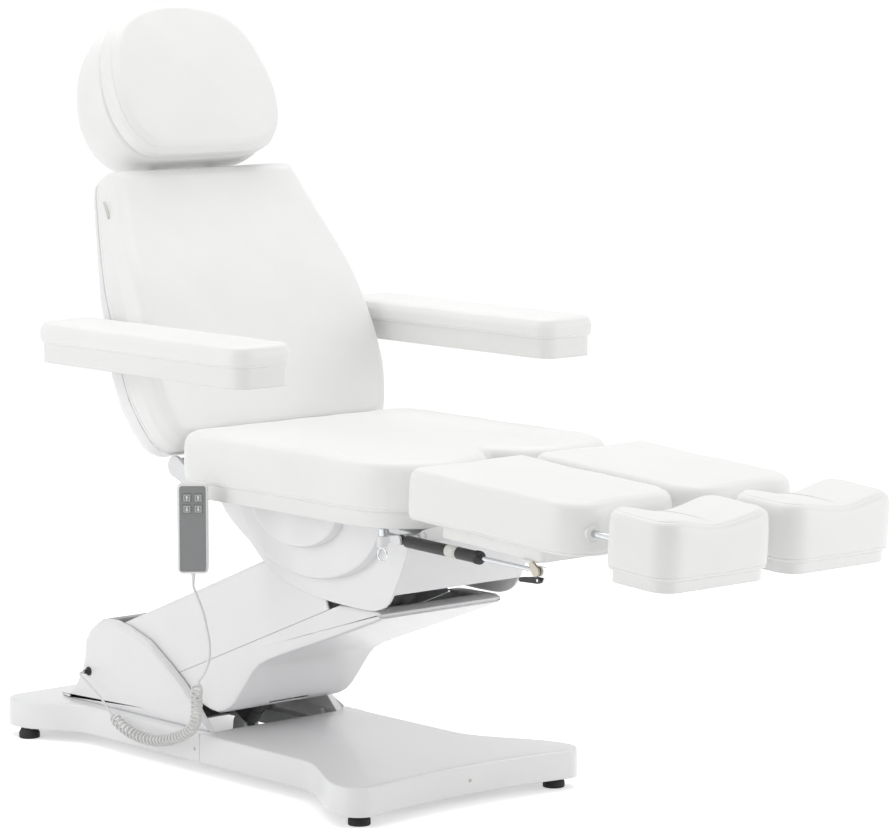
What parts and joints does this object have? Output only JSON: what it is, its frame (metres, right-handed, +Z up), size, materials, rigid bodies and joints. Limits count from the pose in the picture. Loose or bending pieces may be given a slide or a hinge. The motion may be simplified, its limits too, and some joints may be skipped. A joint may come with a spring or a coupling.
{
  "type": "podiatry chair",
  "caption": "Powered podiatry treatment chair with split leg rests, sliding foot pads, reclining back, folding armrests, tilting headrest, lifting arm and a corded hand control.",
  "frame": {"origin": "on the floor, under the middle of the chair's overall box without its free cord", "axes": "+Z up, +Y from the foot end towards the head, +X to the left of a seated person"},
  "size_m": [0.888, 1.9412, 1.4728],
  "materials": {
    "upholstery": "smooth white upholstery",
    "cover": "white moulded cover, fine satin",
    "board": "upholstered white board",
    "frame": "white powder coat",
    "bright": "chromed steel",
    "rubber": "black rubber",
    "black": "black, matt",
    "handset": "white, satin",
    "keypad": "grey membrane",
    "button": "pale grey keys",
    "cord": "pale grey cord sheath"
  },
  "bodies": {
    "base": {"base_frame": "frame", "base_front_cover": "cover", "base_rear_cover": "cover", "levelling_feet": "rubber", "control_box": "black", "cord_grommet": "black", "cord_lower_lead": "cord"},
    "lift_arm": {"lift_arm": "frame", "arm_upper_cover": "cover", "arm_lower_cover": "cover", "cord_curls": "cord"},
    "level_link": {"level_link": "frame"},
    "lift_motor": {"lift_motor": "black"},
    "lift_rod": {"lift_rod": "bright"},
    "carrier": {"carrier_bracket": "frame", "cord_upper_lead": "cord"},
    "seat": {"seat_frame": "frame", "seat_board": "board", "seat_cushion": "upholstery", "mechanism_cover": "cover", "handset_case": "handset", "handset_keypad": "keypad"},
    "tilt_motor": {"tilt_motor": "black"},
    "tilt_rod": {"tilt_rod": "bright"},
    "back": {"back_frame": "frame", "back_shell": "cover", "back_cushion": "upholstery", "armrest_hub_left": "black", "armrest_hub_right": "black"},
    "back_motor": {"back_motor": "black"},
    "back_rod": {"back_rod": "bright"},
    "headrest_rods": {"headrest_rods": "bright"},
    "headrest": {"headrest_body": "upholstery", "headrest_cushion": "upholstery"},
    "button_up_left": {"button_up_left": "button"},
    "button_up_right": {"button_up_right": "button"},
    "button_down_left": {"button_down_left": "button"},
    "button_down_right": {"button_down_right": "button"},
    "armrest_left": {"armrest_board_left": "board", "armrest_pad_left": "upholstery"},
    "leg_swivel_left": {"leg_swivel_left": "frame"},
    "leg_left": {"leg_board_left": "board", "leg_cushion_left": "upholstery"},
    "foot_pad_left": {"foot_board_left": "board", "foot_cushion_left": "upholstery"},
    "gas_cylinder_left": {"gas_cylinder_left": "black"},
    "gas_rod_left": {"gas_rod_left": "bright"},
    "release_lever_left": {"release_lever_left": "black"},
    "plunger_left": {"plunger_left": "bright"},
    "armrest_right": {"armrest_board_right": "board", "armrest_pad_right": "upholstery"},
    "leg_swivel_right": {"leg_swivel_right": "frame"},
    "leg_right": {"leg_board_right": "board", "leg_cushion_right": "upholstery"},
    "foot_pad_right": {"foot_board_right": "board", "foot_cushion_right": "upholstery"},
    "gas_cylinder_right": {"gas_cylinder_right": "black"},
    "gas_rod_right": {"gas_rod_right": "bright"},
    "release_lever_right": {"release_lever_right": "black"},
    "plunger_right": {"plunger_right": "bright"}
  },
  "joints": [
    {"name": "lift", "type": "hinge", "parent": "base", "child": "lift_arm", "pos_m": [0, 0.67, 0.165], "axis": [-1, 0, 0], "range_deg": [0, 28], "deforming": ["cord_lower_lead"]},
    {"name": "level_link_swing", "type": "hinge", "parent": "base", "child": "level_link", "pos_m": [0, 0.67, 0.225], "axis": [-1, 0, 0], "range_deg": [0, 28]},
    {"name": "lift_motor_swing", "type": "hinge", "parent": "base", "child": "lift_motor", "pos_m": [0, 0.5, 0.06], "axis": [-1, 0, 0], "range_deg": [0, 27.08]},
    {"name": "lift_rod_slide", "type": "slide", "parent": "lift_motor", "child": "lift_rod", "axis": [0, -0.6416, 0.7671], "range_m": [0, 0.09629]},
    {"name": "carrier_level", "type": "hinge", "parent": "lift_arm", "child": "carrier", "pos_m": [0, 0.07197, 0.40662], "axis": [-1, 0, 0], "range_deg": [-28, 0], "deforming": ["cord_curls"]},
    {"name": "seat_tilt", "type": "hinge", "parent": "carrier", "child": "seat", "pos_m": [0, 0.07997, 0.49962], "axis": [-1, 0, 0], "range_deg": [0, 12], "deforming": ["cord_upper_lead"]},
    {"name": "tilt_motor_swing", "type": "hinge", "parent": "carrier", "child": "tilt_motor", "pos_m": [-0.034, -0.01, 0.43], "axis": [-1, 0, 0], "range_deg": [0, 8.37]},
    {"name": "tilt_rod_slide", "type": "slide", "parent": "tilt_motor", "child": "tilt_rod", "axis": [0, 0.957, 0.29], "range_m": [-0.01008, 0]},
    {"name": "recline", "type": "hinge", "parent": "seat", "child": "back", "pos_m": [0, 0.425, 0.6], "axis": [-1, 0, 0], "range_deg": [0, 55]},
    {"name": "back_motor_swing", "type": "hinge", "parent": "seat", "child": "back_motor", "pos_m": [0.03, -0.06, 0.53], "axis": [-1, 0, 0], "range_deg": [-1.41, 0]},
    {"name": "back_rod_slide", "type": "slide", "parent": "back_motor", "child": "back_rod", "axis": [0, 0.9998, -0.0186], "range_m": [-0.07207, 0]},
    {"name": "headrest_slide", "type": "slide", "parent": "back", "child": "headrest_rods", "axis": [0, 0.4384, 0.8988], "range_m": [0, 0.06]},
    {"name": "headrest_tilt", "type": "hinge", "parent": "headrest_rods", "child": "headrest", "pos_m": [0, 0.73017, 1.21885], "axis": [-1, 0, 0], "range_deg": [0, 30]},
    {"name": "button_up_left_press", "type": "slide", "parent": "seat", "child": "button_up_left", "axis": [0.6428, 0.766, 0], "range_m": [0, 0.001], "stiffness_N_per_m": 400},
    {"name": "button_up_right_press", "type": "slide", "parent": "seat", "child": "button_up_right", "axis": [0.6428, 0.766, 0], "range_m": [0, 0.001], "stiffness_N_per_m": 400},
    {"name": "button_down_left_press", "type": "slide", "parent": "seat", "child": "button_down_left", "axis": [0.6428, 0.766, 0], "range_m": [0, 0.001], "stiffness_N_per_m": 400},
    {"name": "button_down_right_press", "type": "slide", "parent": "seat", "child": "button_down_right", "axis": [0.6428, 0.766, 0], "range_m": [0, 0.001], "stiffness_N_per_m": 400},
    {"name": "armrest_turn_left", "type": "hinge", "parent": "back", "child": "armrest_left", "pos_m": [0.34, 0.55114, 0.82442], "axis": [-1, 0, 0], "range_deg": [-25, 80]},
    {"name": "leg_swivel_left", "type": "hinge", "parent": "seat", "child": "leg_swivel_left", "pos_m": [0.15, -0.165, 0.54], "axis": [0, 0, 1], "range_deg": [0, 25]},
    {"name": "leg_pitch_left", "type": "hinge", "parent": "leg_swivel_left", "child": "leg_left", "pos_m": [0.15, -0.285, 0.548], "axis": [1, 0, 0], "range_deg": [0, 75]},
    {"name": "foot_pad_slide_left", "type": "slide", "parent": "leg_left", "child": "foot_pad_left", "axis": [0, -0.9986, -0.0523], "range_m": [-0.05, 0.1]},
    {"name": "gas_cylinder_swing_left", "type": "hinge", "parent": "leg_swivel_left", "child": "gas_cylinder_left", "pos_m": [0.246, -0.26, 0.541], "axis": [1, 0, 0], "range_deg": [0, 71.92]},
    {"name": "gas_rod_slide_left", "type": "slide", "parent": "gas_cylinder_left", "child": "gas_rod_left", "axis": [0, -0.9996, -0.0296], "range_m": [-0.02535, 0]},
    {"name": "release_lever_squeeze_left", "type": "hinge", "parent": "gas_rod_left", "child": "release_lever_left", "pos_m": [0.246, -0.62406, 0.51421], "axis": [1, 0, 0], "range_deg": [0, 8], "stiffness_Nm_per_rad": 0.5, "springref_deg": -5.73},
    {"name": "plunger_pull_left", "type": "slide", "parent": "leg_swivel_left", "child": "plunger_left", "axis": [0, 0, -1], "range_m": [0, 0.008], "stiffness_N_per_m": 500, "springref_m": -0.004},
    {"name": "armrest_turn_right", "type": "hinge", "parent": "back", "child": "armrest_right", "pos_m": [-0.34, 0.55114, 0.82442], "axis": [-1, 0, 0], "range_deg": [-25, 80]},
    {"name": "leg_swivel_right", "type": "hinge", "parent": "seat", "child": "leg_swivel_right", "pos_m": [-0.15, -0.165, 0.54], "axis": [0, 0, -1], "range_deg": [0, 25]},
    {"name": "leg_pitch_right", "type": "hinge", "parent": "leg_swivel_right", "child": "leg_right", "pos_m": [-0.15, -0.285, 0.548], "axis": [1, 0, 0], "range_deg": [0, 75]},
    {"name": "foot_pad_slide_right", "type": "slide", "parent": "leg_right", "child": "foot_pad_right", "axis": [0, -0.9986, -0.0523], "range_m": [-0.05, 0.1]},
    {"name": "gas_cylinder_swing_right", "type": "hinge", "parent": "leg_swivel_right", "child": "gas_cylinder_right", "pos_m": [-0.246, -0.26, 0.541], "axis": [1, 0, 0], "range_deg": [0, 71.92]},
    {"name": "gas_rod_slide_right", "type": "slide", "parent": "gas_cylinder_right", "child": "gas_rod_right", "axis": [0, -0.9996, -0.0296], "range_m": [-0.02535, 0]},
    {"name": "release_lever_squeeze_right", "type": "hinge", "parent": "gas_rod_right", "child": "release_lever_right", "pos_m": [-0.246, -0.62406, 0.51421], "axis": [1, 0, 0], "range_deg": [0, 8], "stiffness_Nm_per_rad": 0.5, "springref_deg": -5.73},
    {"name": "plunger_pull_right", "type": "slide", "parent": "leg_swivel_right", "child": "plunger_right", "axis": [0, 0, -1], "range_m": [0, 0.008], "stiffness_N_per_m": 500, "springref_m": -0.004}
  ],
  "couplings": [
    {"joint": "level_link_swing", "follows": "lift", "ratio": 1},
    {"joint": "carrier_level", "follows": "lift", "ratio": -1},
    {"joint": "lift_motor_swing", "follows": "lift", "ratio": 0.967},
    {"joint": "lift_rod_slide", "follows": "lift", "m_per_rad": 0.19704},
    {"joint": "tilt_motor_swing", "follows": "seat_tilt", "ratio": 0.69722},
    {"joint": "tilt_rod_slide", "follows": "seat_tilt", "m_per_rad": -0.04812},
    {"joint": "back_motor_swing", "follows": "recline", "ratio": -0.0256},
    {"joint": "back_rod_slide", "follows": "recline", "m_per_rad": -0.075082},
    {"joint": "gas_cylinder_swing_left", "follows": "leg_pitch_left", "ratio": 0.959},
    {"joint": "gas_rod_slide_left", "follows": "leg_pitch_left", "m_per_rad": -0.019368},
    {"joint": "gas_cylinder_swing_right", "follows": "leg_pitch_right", "ratio": 0.959},
    {"joint": "gas_rod_slide_right", "follows": "leg_pitch_right", "m_per_rad": -0.019368}
  ]
}
